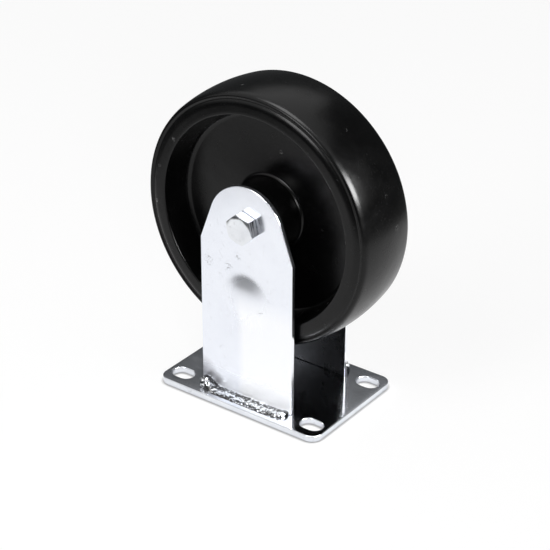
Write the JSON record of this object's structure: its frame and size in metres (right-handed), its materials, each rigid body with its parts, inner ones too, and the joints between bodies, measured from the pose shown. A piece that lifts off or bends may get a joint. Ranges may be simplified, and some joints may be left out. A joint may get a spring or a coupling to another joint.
{
  "type": "fixed castor",
  "caption": "Fixed castor: moulded plastic wheel on a roller bearing and bolt axle, between two steel legs welded to a flat slotted mounting plate.",
  "frame": {"origin": "middle of the mounting plate's under face, the face that is bolted to the furniture; the castor stands on it with its wheel on top, as in the picture", "axes": "+Z from the mounting plate towards the wheel, X the way the wheel rolls, Y along the axle with the bolt's head at -Y and its lock nut at +Y"},
  "size_m": [0.1524, 0.0798, 0.1905],
  "materials": {
    "zinc_plate": "bright zinc plating on steel, mirror-like",
    "zinc_leg": "bright zinc plating on steel, lightly clouded",
    "weld_metal": "rippled weld bead, plated over",
    "wheel_plastic": "black moulded polyolefin, satin",
    "bright_steel": "ground bearing steel",
    "zinc_fastener": "bright zinc plating",
    "cage_nylon": "moulded nylon",
    "insert_nylon": "natural nylon"
  },
  "bodies": {
    "fork": {"mounting_plate": "zinc_plate", "near_leg": "zinc_leg", "far_leg": "zinc_leg", "near_weld": "weld_metal", "far_weld": "weld_metal", "axle_sleeve": "bright_steel", "near_end_washer": "zinc_fastener", "far_end_washer": "zinc_fastener", "axle_bolt": "zinc_fastener", "lock_nut": "zinc_fastener", "lock_nut_insert": "insert_nylon"},
    "wheel": {"wheel": "wheel_plastic"},
    "cage": {"roller_cage": "cage_nylon"},
    "roller_1": {"roller_1": "bright_steel"},
    "roller_2": {"roller_2": "bright_steel"},
    "roller_3": {"roller_3": "bright_steel"},
    "roller_4": {"roller_4": "bright_steel"},
    "roller_5": {"roller_5": "bright_steel"},
    "roller_6": {"roller_6": "bright_steel"},
    "roller_7": {"roller_7": "bright_steel"},
    "roller_8": {"roller_8": "bright_steel"}
  },
  "joints": [
    {"name": "wheel_spin", "type": "hinge", "parent": "fork", "child": "wheel", "pos_m": [0, 0, 0.1143], "axis": [0, 1, 0], "continuous": true},
    {"name": "cage_orbit", "type": "hinge", "parent": "fork", "child": "cage", "pos_m": [0, 0, 0.1143], "axis": [0, 1, 0], "continuous": true},
    {"name": "roller_1_spin", "type": "hinge", "parent": "cage", "child": "roller_1", "pos_m": [0.009, 0, 0.1143], "axis": [0, 1, 0], "continuous": true},
    {"name": "roller_2_spin", "type": "hinge", "parent": "cage", "child": "roller_2", "pos_m": [0.00636, 0, 0.10794], "axis": [0, 1, 0], "continuous": true},
    {"name": "roller_3_spin", "type": "hinge", "parent": "cage", "child": "roller_3", "pos_m": [0, 0, 0.1053], "axis": [0, 1, 0], "continuous": true},
    {"name": "roller_4_spin", "type": "hinge", "parent": "cage", "child": "roller_4", "pos_m": [-0.00636, 0, 0.10794], "axis": [0, 1, 0], "continuous": true},
    {"name": "roller_5_spin", "type": "hinge", "parent": "cage", "child": "roller_5", "pos_m": [-0.009, 0, 0.1143], "axis": [0, 1, 0], "continuous": true},
    {"name": "roller_6_spin", "type": "hinge", "parent": "cage", "child": "roller_6", "pos_m": [-0.00636, 0, 0.12066], "axis": [0, 1, 0], "continuous": true},
    {"name": "roller_7_spin", "type": "hinge", "parent": "cage", "child": "roller_7", "pos_m": [0, 0, 0.1233], "axis": [0, 1, 0], "continuous": true},
    {"name": "roller_8_spin", "type": "hinge", "parent": "cage", "child": "roller_8", "pos_m": [0.00636, 0, 0.12066], "axis": [0, 1, 0], "continuous": true}
  ],
  "couplings": [
    {"joint": "cage_orbit", "follows": "wheel_spin", "ratio": 0.61111},
    {"joint": "roller_1_spin", "follows": "wheel_spin", "ratio": 2.1389},
    {"joint": "roller_2_spin", "follows": "wheel_spin", "ratio": 2.1389},
    {"joint": "roller_3_spin", "follows": "wheel_spin", "ratio": 2.1389},
    {"joint": "roller_4_spin", "follows": "wheel_spin", "ratio": 2.1389},
    {"joint": "roller_5_spin", "follows": "wheel_spin", "ratio": 2.1389},
    {"joint": "roller_6_spin", "follows": "wheel_spin", "ratio": 2.1389},
    {"joint": "roller_7_spin", "follows": "wheel_spin", "ratio": 2.1389},
    {"joint": "roller_8_spin", "follows": "wheel_spin", "ratio": 2.1389}
  ]
}
